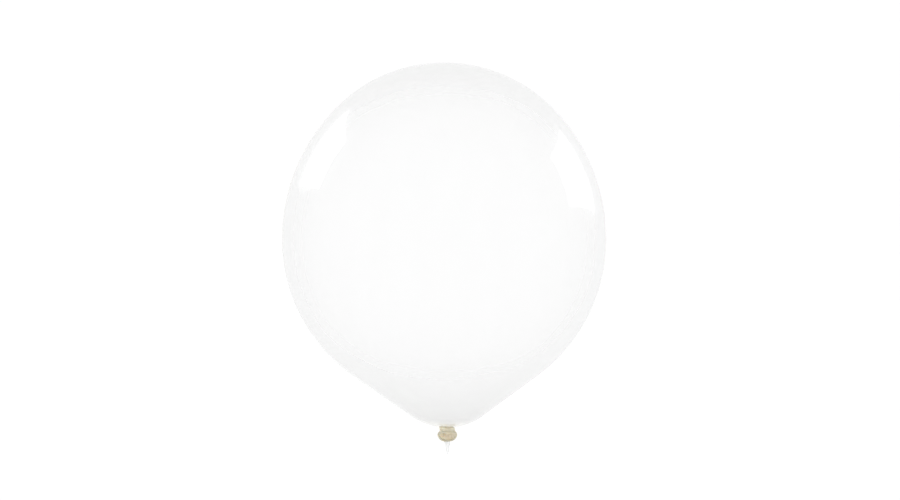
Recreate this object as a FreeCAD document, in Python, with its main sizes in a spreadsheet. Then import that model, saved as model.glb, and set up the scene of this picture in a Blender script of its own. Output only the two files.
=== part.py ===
import FreeCAD, Part
import math
import os
import Sketcher

# A tied latex balloon, in millimetres.
# z = 0 is the pinched waist where a ribbon is tied, x = y = 0 is the axis of the neck and knot.
# The blown-up round of the balloon stands above the waist, the knot and the mouth hang below it.

doc = FreeCAD.newDocument("latex_balloon")
sheet = doc.addObject("Spreadsheet::Sheet", "Sizes")

SIZES = [
    ("equator_radius", 150.0, "radius of the balloon at its widest"),
    ("crown_rise", 163.4, "height of the crown above the widest level"),
    ("crown_fullness", 1.024, "crown arc radius over the radius that an ellipse has there"),
    ("lower_side_radius", 155.6, "arc radius of the side below the widest level"),
    ("flank_angle", 35.5, "angle of the straight lower flank above the horizontal"),
    ("heel_radius", 50.0, "arc radius where the flank turns in under the balloon"),
    ("heel_flat_radius", 3.4, "radius of the flat at the very bottom"),
    ("film_wall", 0.35, "wall of the stretched film, thicker than the real film"),
    ("film_drop", 2.9, "the level of the film's bottom below the ribbon waist"),
    ("neck_offset", 2.9, "how far the neck sits to the side of the balloon's axis"),
    ("throat_radius", 10.4, "radius where the thin film ends and the thick gathered neck starts"),
    ("gather_lift", 0.1, "level of the gathered neck's rim above the film's bottom"),
    ("gather_rim", 1.3, "height of the gathered neck at its rim"),
    ("gather_ledge", 0.6, "width of the rim's rolled edge under the balloon"),
    ("gather_wall", 0.9, "height of the gathered neck's wall at the waist"),
    ("recess_rise", 4.7, "height of the recess that the knot is drawn up into"),
    ("recess_arc", 8.5, "arc radius of the recess's wall"),
    ("waist_radius", 2.2, "radius of the pinched waist"),
    ("waist_half_length", 1.3, "half the length of the pinched waist between its two bending points"),
    ("soft_gap", 0.25, "gap left round each bending point"),
    ("wrap_radius", 7.4, "outer radius of the loop of neck that makes the knot"),
    ("wrap_height", 4.0, "height of that loop"),
    ("wrap_nest", 0.5, "how far the loop's top sits inside the recess"),
    ("core_wall", 0.6, "wall of the strand round the waist's end"),
    ("core_rim", 0.3, "how far the strand's rim lies below its bending point"),
    ("core_under", 0.2, "how far the strand's shoulder stands out under the loop"),
    ("tail_ball_radius", 2.3, "radius of the strand's rounded lower end"),
    ("tail_drop", 1.5, "how far the tail's bending point lies below the loop"),
    ("tail_gap", 0.4, "gap between the strand's rounded end and the skirt's root"),
    ("skirt_root_drop", 0.9, "how far the skirt's root lies below the tail's bending point"),
    ("skirt_wall", 0.6, "wall of the unstretched skirt"),
    ("lip_half_width", 8.1, "half width of the mouth, measured to the middle of its rolled lip"),
    ("lip_half_depth", 6.05, "half depth of the mouth, measured in its own slanting plane"),
    ("lip_tilt", 45.0, "slant of the mouth's plane from the horizontal"),
    ("lip_forward", 2.3, "how far the mouth's middle lies in front of the knot"),
    ("lip_gap", 0.22, "how far the lip's highest point lies below the loop"),
    ("bead_radius", 1.0, "radius of the rolled lip's section"),
    ("tip_half_width", 2.6, "half width of the hanging tip where it leaves the lip"),
    ("tip_length", 12.3, "length of the hanging tip"),
    ("tip_end_radius", 0.4, "half width of the hanging tip at its end"),
    ("tip_thickness", 0.8, "thickness of the hanging tip"),
]
for row, (alias, value, note) in enumerate(SIZES, 1):
    sheet.set(f"A{row}", note)
    sheet.set(f"B{row}", str(value))
    sheet.setAlias(f"B{row}", alias)
doc.recompute()


class Size:
    """A length or ratio that knows both its number and the expression over the sheet that gives it."""

    def __init__(self, value, text):
        self.value = float(value)
        self.text = text

    def __add__(self, other):
        other = size(other)
        return Size(self.value + other.value, f"({self.text} + {other.text})")

    def __sub__(self, other):
        other = size(other)
        return Size(self.value - other.value, f"({self.text} - {other.text})")

    def __mul__(self, other):
        other = size(other)
        return Size(self.value * other.value, f"({self.text} * {other.text})")

    def __truediv__(self, other):
        other = size(other)
        return Size(self.value / other.value, f"({self.text} / {other.text})")

    def __radd__(self, other):
        return size(other) + self

    def __rsub__(self, other):
        return size(other) - self

    def __rmul__(self, other):
        return size(other) * self

    def __neg__(self):
        return 0.0 - self

    def sine(self):
        return Size(math.sin(math.radians(self.value)), f"sin({self.text})")

    def cosine(self):
        return Size(math.cos(math.radians(self.value)), f"cos({self.text})")

    def root(self):
        return Size(math.sqrt(self.value), f"sqrt({self.text})")


def size(what):
    """The sheet's value of that name, or a plain number."""
    if isinstance(what, Size):
        return what
    if isinstance(what, str):
        return Size(sheet.get(what), f"Sizes.{what}")
    return Size(what, repr(float(what)))


def origin_plane(body, role):
    for feature in body.Origin.OriginFeatures:
        if getattr(feature, "Role", "") == role:
            return feature
    raise ValueError(f"{body.Label} has no {role}")


def new_body(name):
    body = doc.addObject("PartDesign::Body", name)
    body.Label = name
    return body


def new_sketch(body, name, role):
    sketch = body.newObject("Sketcher::SketchObject", name)
    sketch.AttachmentSupport = [(origin_plane(body, role), "")]
    sketch.MapMode = "FlatFace"
    return sketch


def bound(sketch, name, constraint, value):
    """Adds a named constraint and binds it to the sheet."""
    index = sketch.addConstraint(constraint)
    sketch.renameConstraint(index, name)
    sketch.setExpression(f"Constraints.{name}", value.text)


def arc_between(start, end, radius, bulge):
    """The short arc from start to end, with its centre on the left of the way for bulge 1, right for -1."""
    middle = (start + end) * 0.5
    chord = end - start
    rise = math.sqrt(max(radius**2 - (chord.Length / 2) ** 2, 0.0))
    left = FreeCAD.Vector(-chord.y, chord.x, 0).normalize()
    centre = middle + left * (rise * bulge)
    top = centre + (middle - centre).normalize() * radius
    return Part.Arc(start, top, end)


def closed_profile(sketch, corners, arcs):
    """A closed outline through corners bound to the sheet. arcs maps a side's number to (radius, bulge)."""
    points = [FreeCAD.Vector(x.value, y.value, 0) for x, y in corners]
    count = len(points)
    for i, start in enumerate(points):
        end = points[(i + 1) % count]
        if i in arcs:
            radius, bulge = arcs[i]
            sketch.addGeometry(arc_between(start, end, radius.value, bulge), False)
        else:
            sketch.addGeometry(Part.LineSegment(start, end), False)
    ends = []
    for i, start in enumerate(points):
        first = sketch.getPoint(i, 1)
        ends.append((1, 2) if (first - start).Length < 1e-6 else (2, 1))
    for i in range(count):
        after = (i + 1) % count
        sketch.addConstraint(Sketcher.Constraint("Coincident", i, ends[i][1], after, ends[after][0]))
    for i, (x, y) in enumerate(corners):
        here = ends[i][0]
        for axis, kind, value in ((-2, "DistanceX", x), (-1, "DistanceY", y)):
            if abs(value.value) < 1e-9:
                sketch.addConstraint(Sketcher.Constraint("PointOnObject", i, here, axis))
            else:
                rule = Sketcher.Constraint(kind, -1, 1, i, here, value.value)
                bound(sketch, f"corner{i}_{kind[-1].lower()}", rule, value)
    for i, (radius, _) in arcs.items():
        bound(sketch, f"radius{i}", Sketcher.Constraint("Radius", i, radius.value), radius)


def revolved(body, sketch, kind, name):
    """The sketch turned a full turn about the vertical axis of its own plane."""
    feature = body.newObject(kind, name)
    feature.Profile = sketch
    feature.ReferenceAxis = (sketch, ["V_Axis"])
    feature.Angle = 360
    doc.recompute()
    return feature


def turned_body(name, corners, arcs):
    body = new_body(name)
    sketch = new_sketch(body, f"{name}_profile", "XZ_Plane")
    closed_profile(sketch, corners, arcs)
    revolved(body, sketch, "PartDesign::Revolution", f"{name}_turned")
    return body


# ---- the stretched film ----

zero = size(0.0)
film_wall = size("film_wall")
equator_radius = size("equator_radius")
crown_rise = size("crown_rise")
heel_radius = size("heel_radius")
lower_radius = size("lower_side_radius")
flank_out = size("flank_angle").sine()
flank_down = size("flank_angle").cosine()
bottom = -size("film_drop")

# The crown is a smaller arc about the axis, the shoulder a larger one that is upright at the widest level.
crown_radius = size("crown_fullness") * equator_radius * equator_radius / crown_rise
crown_dip = crown_rise - crown_radius
shoulder_square = crown_dip * crown_dip + equator_radius * equator_radius - crown_radius * crown_radius
shoulder_radius = shoulder_square / (2.0 * (equator_radius - crown_radius))
join_out = (shoulder_radius - equator_radius) / (shoulder_radius - crown_radius)
join_up = crown_dip / (shoulder_radius - crown_radius)

# The flank touches both the lower side arc and the heel arc, which sets the height of the widest level.
arc_gap_out = equator_radius - lower_radius - size("heel_flat_radius")
reach = (lower_radius - heel_radius) + arc_gap_out * flank_out
equator_level = bottom + heel_radius + reach / flank_down


def film_outline(inset):
    """Corners and arcs of half the film's outline, moved inwards by inset."""
    lower_out = equator_radius - lower_radius
    corners = [
        (zero, equator_level + crown_rise - inset),
        (
            equator_radius - shoulder_radius + join_out * (shoulder_radius - inset),
            equator_level + join_up * (shoulder_radius - inset),
        ),
        (equator_radius - inset, equator_level),
        (
            lower_out + flank_out * (lower_radius - inset),
            equator_level - flank_down * (lower_radius - inset),
        ),
        (
            size("heel_flat_radius") + flank_out * (heel_radius - inset),
            bottom + heel_radius - flank_down * (heel_radius - inset),
        ),
        (size("heel_flat_radius"), bottom + inset),
        (zero, bottom + inset),
    ]
    arcs = {
        0: (crown_radius - inset, -1),
        1: (shoulder_radius - inset, -1),
        2: (lower_radius - inset, -1),
        4: (heel_radius - inset, -1),
    }
    return corners, arcs


envelope = turned_body("envelope", *film_outline(zero))
hollow = new_sketch(envelope, "envelope_hollow", "XZ_Plane")
closed_profile(hollow, *film_outline(film_wall))
revolved(envelope, hollow, "PartDesign::Groove", "envelope_hollowed")

throat = new_sketch(envelope, "envelope_throat", "XY_Plane")
throat_radius = size("throat_radius")
neck_offset = size("neck_offset")
throat.addGeometry(
    Part.Circle(FreeCAD.Vector(neck_offset.value, 0, 0), FreeCAD.Vector(0, 0, 1), throat_radius.value),
    False,
)
throat.addConstraint(Sketcher.Constraint("PointOnObject", 0, 3, -1))
bound(throat, "offset", Sketcher.Constraint("DistanceX", -1, 1, 0, 3, neck_offset.value), neck_offset)
bound(throat, "radius", Sketcher.Constraint("Radius", 0, throat_radius.value), throat_radius)
throat_cut = envelope.newObject("PartDesign::Pocket", "envelope_throat_cut")
throat_cut.Profile = throat
throat_cut.Type = 0
throat_cut.Midplane = True
throat_cut.Length = 10.0
throat_cut.setExpression("Length", "Sizes.throat_radius")
doc.recompute()
envelope.setExpression("Placement.Base.x", "-Sizes.neck_offset")

# ---- the gathered neck and its pinched waist ----

waist_radius = size("waist_radius")
half_waist = size("waist_half_length")
soft_gap = size("soft_gap")
gather_hole = waist_radius + soft_gap
rim_bottom = bottom + size("gather_lift")
rim_top = rim_bottom + size("gather_rim")
recess_top = rim_bottom + size("recess_rise")
gather = turned_body(
    "neck_gather",
    [
        (gather_hole, recess_top),
        (throat_radius - size("gather_ledge"), rim_bottom),
        (throat_radius, rim_bottom),
        (throat_radius, rim_top),
        (gather_hole, recess_top + size("gather_wall")),
    ],
    {0: (size("recess_arc"), -1), 3: (size("recess_arc"), 1)},
)

waist = turned_body(
    "neck_waist",
    [
        (zero, -(half_waist + waist_radius)),
        (waist_radius, -half_waist),
        (waist_radius, half_waist),
        (zero, half_waist + waist_radius),
    ],
    {0: (waist_radius, 1), 2: (waist_radius, 1)},
)

# ---- the knot: a loop of neck round the strand that runs through it ----

wrap_top = bottom + size("wrap_nest")
half_wrap = size("wrap_height") * 0.5
wrap_middle = wrap_top - half_wrap
wrap_turn = size("wrap_radius") - half_wrap
wrap_bottom = wrap_top - size("wrap_height")
core_radius = waist_radius + soft_gap + size("core_wall")
wrap = turned_body(
    "knot_wrap",
    [
        (core_radius, wrap_top),
        (core_radius, wrap_bottom),
        (wrap_turn, wrap_bottom),
        (size("wrap_radius"), wrap_middle),
        (wrap_turn, wrap_top),
    ],
    {2: (half_wrap, 1), 3: (half_wrap, 1)},
)

cup_radius = waist_radius + soft_gap
cup_drop = size("core_rim")
cup_mouth = (cup_radius * cup_radius - cup_drop * cup_drop).root()
shoulder_level = wrap_bottom - size("core_under")
ball_radius = size("tail_ball_radius")
ball_level = wrap_bottom - size("tail_drop")
ball_rise = shoulder_level - ball_level
ball_neck = (ball_radius * ball_radius - ball_rise * ball_rise).root()
core = turned_body(
    "knot_core",
    [
        (zero, -(half_waist + cup_radius)),
        (cup_mouth, -(half_waist + cup_drop)),
        (core_radius, -(half_waist + cup_drop)),
        (core_radius, shoulder_level),
        (ball_neck, shoulder_level),
        (ball_radius, ball_level),
        (zero, ball_level - ball_radius),
    ],
    {0: (cup_radius, 1), 4: (ball_radius, -1), 5: (ball_radius, -1)},
)

# ---- the tail: a short flared skirt, its rolled lip and a hanging tip ----

lip_tilt = size("lip_tilt")
lip_back = size("lip_half_depth") * lip_tilt.cosine()
lip_down = size("lip_half_depth") * lip_tilt.sine()
lip_middle = wrap_bottom - size("lip_gap") - size("bead_radius") - lip_down
mouth_turn = FreeCAD.Rotation(FreeCAD.Vector(1, 0, 0), -lip_tilt.value)


def placed(thing, x, y, z, rotation):
    """Places a primitive, with each offset bound to the sheet."""
    thing.Placement = FreeCAD.Placement(FreeCAD.Vector(x.value, y.value, z.value), rotation)
    for axis, value in (("x", x), ("y", y), ("z", z)):
        if value.text != zero.text:
            thing.setExpression(f"Placement.Base.{axis}", value.text)
    return thing


def mouth_oval(name, inset, turn):
    """The oval of the mouth in its slanting plane, drawn in by inset."""
    oval = doc.addObject("Part::Ellipse", name)
    oval.setExpression("MajorRadius", (size("lip_half_width") - inset).text)
    oval.setExpression("MinorRadius", (size("lip_half_depth") - inset).text)
    return placed(oval, zero, -size("lip_forward"), lip_middle, turn)


def ring(name, radius, x, y, z, rotation):
    circle = doc.addObject("Part::Circle", name)
    circle.setExpression("Radius", radius.text)
    return placed(circle, x, y, z, rotation)


root_level = ball_level - size("skirt_root_drop")
skirt_wall = size("skirt_wall")
root_radius = ball_radius + size("tail_gap") + skirt_wall
level = FreeCAD.Rotation()


def flare(name, root, oval):
    loft = doc.addObject("Part::Loft", name)
    loft.Sections = [root, oval]
    loft.Solid = True
    loft.Ruled = True
    return loft


mouth_outside = mouth_oval("mouth_outside", -(skirt_wall * 0.5), mouth_turn)
mouth_inside = mouth_oval("mouth_inside", skirt_wall * 0.5, mouth_turn)
root_outside = ring("root_outside", root_radius, zero, zero, root_level, level)
root_inside = ring("root_inside", root_radius - skirt_wall, zero, zero, root_level, level)
skirt_outside = flare("skirt_outside", root_outside, mouth_outside)
skirt_inside = flare("skirt_inside", root_inside, mouth_inside)

# The lip's path starts on the side away from the skirt's seam, so the two seams don't meet.
half_turn = FreeCAD.Rotation(FreeCAD.Vector(0, 0, 1), 180)
mouth_path = mouth_oval("mouth_path", zero, mouth_turn.multiply(half_turn))
along = mouth_turn.multVec(FreeCAD.Vector(0, 1, 0))
bead_turn = FreeCAD.Rotation(FreeCAD.Vector(0, 0, 1), along)
bead_section = ring(
    "bead_section",
    size("bead_radius"),
    -size("lip_half_width"),
    -size("lip_forward"),
    lip_middle,
    bead_turn,
)
bead = doc.addObject("Part::Sweep", "lip_bead")
bead.Label = "lip_bead"
bead.Sections = [bead_section]
bead.Spine = (mouth_path, ["Edge1"])
bead.Solid = True
bead.Frenet = True

skirt_shell = doc.addObject("Part::Cut", "skirt_shell")
skirt_shell.Base = skirt_outside
skirt_shell.Tool = skirt_inside
skirt = doc.addObject("Part::Cut", "mouth_skirt")
skirt.Label = "mouth_skirt"
skirt.Base = skirt_shell
skirt.Tool = bead

# The tip hangs from the lowest point of the lip, at the back of the mouth.
tip_back = lip_back - size("lip_forward")
tip_top = lip_middle - lip_down
tip_low = tip_top - size("tip_length")
tip_half = size("tip_half_width")
tip_end = size("tip_end_radius")
tip_body = new_body("tip_blank")
tip_sketch = new_sketch(tip_body, "tip_outline", "XZ_Plane")
closed_profile(
    tip_sketch,
    [
        (-tip_half, tip_top),
        (-tip_end, tip_low + tip_end),
        (zero, tip_low),
        (tip_end, tip_low + tip_end),
        (tip_half, tip_top),
    ],
    {1: (tip_end, 1), 2: (tip_end, 1)},
)
tip_pad = tip_body.newObject("PartDesign::Pad", "tip_pad")
tip_pad.Profile = tip_sketch
tip_pad.Midplane = True
tip_pad.Length = 1.0
tip_pad.setExpression("Length", "Sizes.tip_thickness")
doc.recompute()
tip_body.setExpression("Placement.Base.y", tip_back.text)
tip = doc.addObject("Part::Cut", "tail_tip")
tip.Label = "tail_tip"
tip.Base = tip_body
tip.Tool = bead

doc.recompute()

# ---- checks and files ----

parts = [envelope, gather, waist, core, wrap, skirt, bead, tip]
for thing in doc.Objects:
    if "Invalid" in thing.State or "Error" in thing.State:
        raise RuntimeError(f"{thing.Label} is {thing.State}")
for part in parts:
    if part.Shape.isNull() or not part.Shape.isValid() or len(part.Shape.Solids) != 1:
        raise RuntimeError(f"{part.Label} isn't one valid solid")

os.makedirs("parts", exist_ok=True)
for part in parts:
    part.Shape.exportStep(os.path.join("parts", f"{part.Label}.step"))
    print(f"{part.Label}: {part.Shape.Volume:.1f} mm3")
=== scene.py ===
"""A clear latex party balloon, blown up and knotted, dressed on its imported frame.

Lengths are in metres in the row frame, whose origin is the ribbon waist and whose +Z points to the crown.
"""
import logging
import math
from dataclasses import dataclass, field
from enum import Enum
from typing import Any

import bpy
import numpy as np
from mathutils import Matrix, Vector


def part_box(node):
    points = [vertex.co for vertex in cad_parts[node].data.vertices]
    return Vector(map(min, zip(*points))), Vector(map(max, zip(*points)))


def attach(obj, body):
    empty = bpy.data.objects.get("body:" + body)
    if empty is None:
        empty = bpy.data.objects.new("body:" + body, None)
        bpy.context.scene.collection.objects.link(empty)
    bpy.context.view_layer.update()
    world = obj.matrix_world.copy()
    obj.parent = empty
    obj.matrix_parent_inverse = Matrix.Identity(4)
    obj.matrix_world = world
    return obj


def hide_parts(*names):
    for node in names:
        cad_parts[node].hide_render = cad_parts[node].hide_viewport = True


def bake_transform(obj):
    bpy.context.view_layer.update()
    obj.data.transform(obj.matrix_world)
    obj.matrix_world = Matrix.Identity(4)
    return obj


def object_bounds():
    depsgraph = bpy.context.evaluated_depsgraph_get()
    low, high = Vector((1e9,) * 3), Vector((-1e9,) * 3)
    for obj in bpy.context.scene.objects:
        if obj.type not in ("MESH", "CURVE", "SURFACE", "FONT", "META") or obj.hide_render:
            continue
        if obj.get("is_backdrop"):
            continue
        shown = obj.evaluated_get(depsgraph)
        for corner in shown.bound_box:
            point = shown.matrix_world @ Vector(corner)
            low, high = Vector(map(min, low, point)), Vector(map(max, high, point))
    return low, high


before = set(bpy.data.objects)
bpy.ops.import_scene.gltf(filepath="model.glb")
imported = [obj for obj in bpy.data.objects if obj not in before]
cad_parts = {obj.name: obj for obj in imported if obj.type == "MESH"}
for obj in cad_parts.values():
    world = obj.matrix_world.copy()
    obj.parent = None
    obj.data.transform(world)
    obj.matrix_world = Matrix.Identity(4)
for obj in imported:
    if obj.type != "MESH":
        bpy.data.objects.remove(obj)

MM = 0.001
FULL_TURN = 2.0 * math.pi
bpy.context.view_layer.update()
LATEX_IOR = 1.5
log = logging.getLogger("balloon")

Colour = tuple[float, float, float, float]


class Body(Enum):
    """The bodies that rigid pieces ride on."""

    BALLOON = "balloon"
    KNOT = "knot"
    TAIL = "tail"


class Slot(Enum):
    """The finishes, one slot each."""

    FILM = "film"
    NECK = "neck"
    KNOT = "knot"
    MOUTH = "mouth"
    LIP = "lip"
    TIP = "tip"


# ---- shader arithmetic ----


@dataclass(frozen=True)
class Signal:
    """A shader output that takes part in Python arithmetic by adding Math nodes."""

    canvas: "Canvas"
    socket: Any

    def _math(self, operation: str, first: "Signal | float", second: "Signal | float") -> "Signal":
        """The result of one Math node on two values."""
        return self.canvas.node("ShaderNodeMath", {"operation": operation}, {0: first, 1: second})

    def __add__(self, other: "Signal | float") -> "Signal":
        """self + other."""
        return self._math("ADD", self, other)

    def __radd__(self, other: float) -> "Signal":
        """other + self."""
        return self._math("ADD", other, self)

    def __sub__(self, other: "Signal | float") -> "Signal":
        """self - other."""
        return self._math("SUBTRACT", self, other)

    def __rsub__(self, other: float) -> "Signal":
        """other - self."""
        return self._math("SUBTRACT", other, self)

    def __mul__(self, other: "Signal | float") -> "Signal":
        """self * other."""
        return self._math("MULTIPLY", self, other)

    def __rmul__(self, other: float) -> "Signal":
        """other * self."""
        return self._math("MULTIPLY", other, self)

    def __pow__(self, other: "Signal | float") -> "Signal":
        """self ** other."""
        return self._math("POWER", self, other)

    def kept_within(self, low: float, high: float) -> "Signal":
        """The value held between low and high."""
        return self._math("MINIMUM", self._math("MAXIMUM", self, low), high)


class Canvas:
    """One material's node tree, filled through a single node-making method."""

    def __init__(self, name: str) -> None:
        """Starts an empty material.

        Args:
            name: the material's name.
        """
        self.material = bpy.data.materials.new(name)
        self.material.use_nodes = True
        self.tree = self.material.node_tree
        self.tree.nodes.clear()

    def node(
        self,
        kind: str,
        settings: dict[str, Any] | None = None,
        inputs: dict[str | int, Any] | None = None,
        output: str | int = 0,
    ) -> Signal:
        """Adds a node: its settings first, then the values or links of its sockets.

        Args:
            kind: the node's type.
            settings: attributes of the node, such as a Math node's operation.
            inputs: a number, a tuple or a Signal for each socket, by identifier or place.
            output: the output that is wanted, by identifier or place.

        Returns:
            That output, or an empty Signal for a node with none.
        """
        made = self.tree.nodes.new(kind)
        for key, value in (settings or {}).items():
            setattr(made, key, value)
        for key, value in (inputs or {}).items():
            socket = self._socket(made.inputs, key)
            if isinstance(value, Signal):
                self.tree.links.new(value.socket, socket)
            else:
                socket.default_value = value
        return Signal(self, self._socket(made.outputs, output) if made.outputs else None)

    @staticmethod
    def _socket(sockets: Any, key: str | int) -> Any:
        """Finds a socket by its place or its identifier.

        Args:
            sockets: a node's inputs or outputs.
            key: the place or the identifier.

        Returns:
            The socket.
        """
        if isinstance(key, int):
            return sockets[key]
        return next(s for s in sockets if s.identifier == key)

    def place(self) -> Signal:
        """The point's own place, in metres."""
        return self.node("ShaderNodeTexCoord", output="Object")

    def stretched(self, scale: tuple[float, float, float]) -> Signal:
        """The point's place after a scale of each axis."""
        return self.node("ShaderNodeMapping", None, {"Vector": self.place(), "Scale": scale})

    def noise(
        self, per_metre: float, detail: float = 3.0, rough: float = 0.55, at: Signal | None = None
    ) -> Signal:
        """Soft random variation from 0 to 1, with so many blotches to the metre and some finer layers."""
        facts = {"Vector": at or self.place(), "Scale": per_metre, "Detail": detail, "Roughness": rough}
        return self.node("ShaderNodeTexNoise", {"noise_dimensions": "3D"}, facts)

    def fact(self, name: str) -> Signal:
        """A value stored on the mesh by name."""
        return self.node("ShaderNodeAttribute", {"attribute_name": name}, output="Fac")

    def facing(self) -> Signal:
        """0 where the surface is seen square on, up to 1 where it is seen edge on."""
        return self.node("ShaderNodeLayerWeight", None, {"Blend": 0.5}, "Facing")

    def inside(self) -> Signal:
        """1 on the back of a face and 0 on its front."""
        return self.node("ShaderNodeNewGeometry", output="Backfacing")

    def blended(self, share: Signal | float, first: Signal | Colour, second: Signal | Colour) -> Signal:
        """A colour between two others: the first where share is 0, the second where it is 1."""
        facts = {"Factor_Float": share, "A_Color": first, "B_Color": second}
        return self.node("ShaderNodeMix", {"data_type": "RGBA"}, facts, "Result_Color")

    def bump(self, height: Signal, depth: float, strength: float) -> Signal:
        """A normal from a height of 0 to 1, where 1 is depth metres and strength is the share that shows."""
        return self.node("ShaderNodeBump", None, {"Height": height, "Distance": depth, "Strength": strength})

    def surface(self, facts: dict[str, Any]) -> bpy.types.Material:
        """Closes the material with one Principled shader.

        Args:
            facts: the shader's sockets.

        Returns:
            The finished material.
        """
        shader = self.node("ShaderNodeBsdfPrincipled", None, facts)
        self.node("ShaderNodeOutputMaterial", None, {"Surface": shader})
        return self.material


# ---- finishes ----


@dataclass(frozen=True)
class FilmFinish:
    """Clear latex blown thin: nearly see-through where it is seen square on, milky towards its edge.

    The share of light that the film stops is clear_share + edge_gain * facing ** edge_power
    + thick_gain * thickness, with soft streaks running from crown to neck as the dipped latex drained. Its
      colour
    greys where the thickness is high, near the neck and the crown: partly the thicker latex, partly painted
    shade that darkens the underside and the top. Where the thickness passes rim_start, at the roll over the
    neck, the
    colour turns pale and warm: partly the roll's own tone, partly painted light that lifts the shade in the
    crease over the knot.
    Its outer face is glossy. Its inner face, dusted with the powder that keeps it from sticking, is matt.
    """

    name: str = "clear_latex_film"
    thin_colour: Colour = (0.845, 0.845, 0.845, 1.0)
    thick_tone_and_painted_shade: Colour = (0.78, 0.78, 0.775, 1.0)
    rim_tone_and_painted_light: Colour = (0.91, 0.90, 0.85, 1.0)
    rim_start: float = 0.78
    rim_gain: float = 5.0
    clear_share: float = 0.132
    edge_gain: float = 0.72
    edge_power: float = 2.5
    thick_gain: float = 0.56
    streak_gain: float = 0.05
    roughness: float = 0.16
    inner_roughness: float = 0.75
    shine_fade: float = 7.0
    roughness_swing: float = 0.10
    coat_roughness: float = 0.03
    gloss_level: float = 0.15
    streaks_per_metre: float = 30.0
    streak_squeeze: float = 0.12
    haze_per_metre: float = 14.0
    haze_share: float = 0.10
    haze_colour: Colour = (0.90, 0.90, 0.895, 1.0)
    haze_bump: float = 0.6
    grain_per_metre: float = 1900.0
    ripple_depth: float = 0.00006
    ripple_strength: float = 0.35

    def material(self) -> bpy.types.Material:
        """The film's material."""
        canvas = Canvas(self.name)
        thickness = canvas.fact("thickness")
        along = canvas.stretched((1.0, 1.0, self.streak_squeeze))
        streaks = canvas.noise(self.streaks_per_metre, 2.0, 0.5, along)
        haze = canvas.noise(self.haze_per_metre, 3.0)
        grain = canvas.noise(self.grain_per_metre, 2.0)
        inside = canvas.inside()
        solid = self.clear_share + canvas.facing() ** self.edge_power * self.edge_gain
        solid = solid + thickness * self.thick_gain + (streaks - 0.5) * self.streak_gain
        # Painted shade: the colour greys with thickness, darkening the underside near the neck and the crown,
        # partly for the thicker latex.
        colour = canvas.blended(thickness, self.thin_colour, self.thick_tone_and_painted_shade)
        # Painted light: past rim_start the roll over the neck turns pale and warm, lifting the shade in the
        # crease over the knot; partly the roll's own tone.
        rim = ((thickness - self.rim_start) * self.rim_gain).kept_within(0.0, 1.0)
        colour = canvas.blended(rim, colour, self.rim_tone_and_painted_light)
        cloud = canvas.blended((haze * self.haze_share).kept_within(0.0, 1.0), colour, self.haze_colour)
        ripples = haze * self.haze_bump + grain * (1.0 - self.haze_bump)
        shine = 1.0 - canvas.facing() ** self.shine_fade
        return canvas.surface(
            {
                "Base Color": cloud,
                "Alpha": solid.kept_within(0.0, 1.0),
                "Roughness": self.roughness + grain * self.roughness_swing + inside * self.inner_roughness,
                "Normal": canvas.bump(ripples, self.ripple_depth, self.ripple_strength),
                "Coat Weight": shine * (1.0 - inside),
                "Coat Roughness": self.coat_roughness,
                "IOR": LATEX_IOR,
                "Specular IOR Level": self.gloss_level,
            }
        )


@dataclass(frozen=True)
class LatexFinish:
    """Unstretched natural latex: warm and a little uneven, with painted shade that makes it darker and redder
    in its folds.

    Three colours are mixed: the open colour, a richer one in blotches, and a painted shade colour for the
    folds by the mesh's own "fold" value, with the wrinkles' noise adding a random share. A fine chalky grain
    and small wrinkles are its bump. Where it is thin, the share of light that it stops is solid, and more by
    solid_gains where it is seen edge on, in blotches and in folds.
    """

    name: str
    open_colour: Colour
    rich_colour: Colour
    fold_shade_colour: Colour
    roughness: float = 0.38
    roughness_swing: float = 0.16
    fold_gloss: float = 0.06
    solid: float = 1.0
    solid_gains: tuple[float, float, float] = (0.30, 0.2, 0.2)
    glow_through: float = 0.4
    glow_depth: float = 0.0018
    glow_spread: tuple[float, float, float] = (1.0, 0.8, 0.6)
    coat: float = 0.25
    coat_roughness: float = 0.22
    blotches_per_metre: float = 420.0
    blotch_start: float = 0.35
    blotch_gain: float = 2.2
    fold_shade_share: float = 0.75
    grain_per_metre: float = 5200.0
    wrinkles_per_metre: float = 1500.0
    wrinkle_share: float = 0.12
    wrinkle_bump: float = 0.7
    wrinkle_depth: float = 0.00012
    wrinkle_strength: float = 0.7

    def material(self) -> bpy.types.Material:
        """The latex's material."""
        canvas = Canvas(self.name)
        fold = canvas.fact("fold")
        blotches = canvas.noise(self.blotches_per_metre, 3.0)
        grain = canvas.noise(self.grain_per_metre, 2.0)
        wrinkles = canvas.noise(self.wrinkles_per_metre, 4.0, 0.6)
        rich = ((blotches - self.blotch_start) * self.blotch_gain).kept_within(0.0, 1.0)
        # Painted shade: the mesh's fold value pulls the colour towards the darker fold colour in folds and
        # creases; the wrinkle noise adds a random tone.
        fold_shade_and_mottle = (fold * self.fold_shade_share + wrinkles * self.wrinkle_share).kept_within(0.0, 1.0)
        colour = canvas.blended(rich, self.open_colour, self.rich_colour)
        colour = canvas.blended(fold_shade_and_mottle, colour, self.fold_shade_colour)
        relief = wrinkles * self.wrinkle_bump + grain * (1.0 - self.wrinkle_bump)
        facts: dict[str, Any] = {
            "Base Color": colour,
            "Roughness": self.roughness + grain * self.roughness_swing - fold * self.fold_gloss,
            "Normal": canvas.bump(relief, self.wrinkle_depth, self.wrinkle_strength),
            "IOR": LATEX_IOR,
            "Coat Weight": self.coat,
            "Coat Roughness": self.coat_roughness,
            "Subsurface Weight": self.glow_through,
            "Subsurface Radius": self.glow_spread,
            "Subsurface Scale": self.glow_depth,
        }
        if self.solid < 1.0:
            edge, blotch, crease = self.solid_gains
            gain = canvas.facing() * edge + (blotches - 0.5) * blotch + fold * crease
            facts["Alpha"] = (self.solid + gain).kept_within(0.0, 1.0)
        return canvas.surface(facts)


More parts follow.
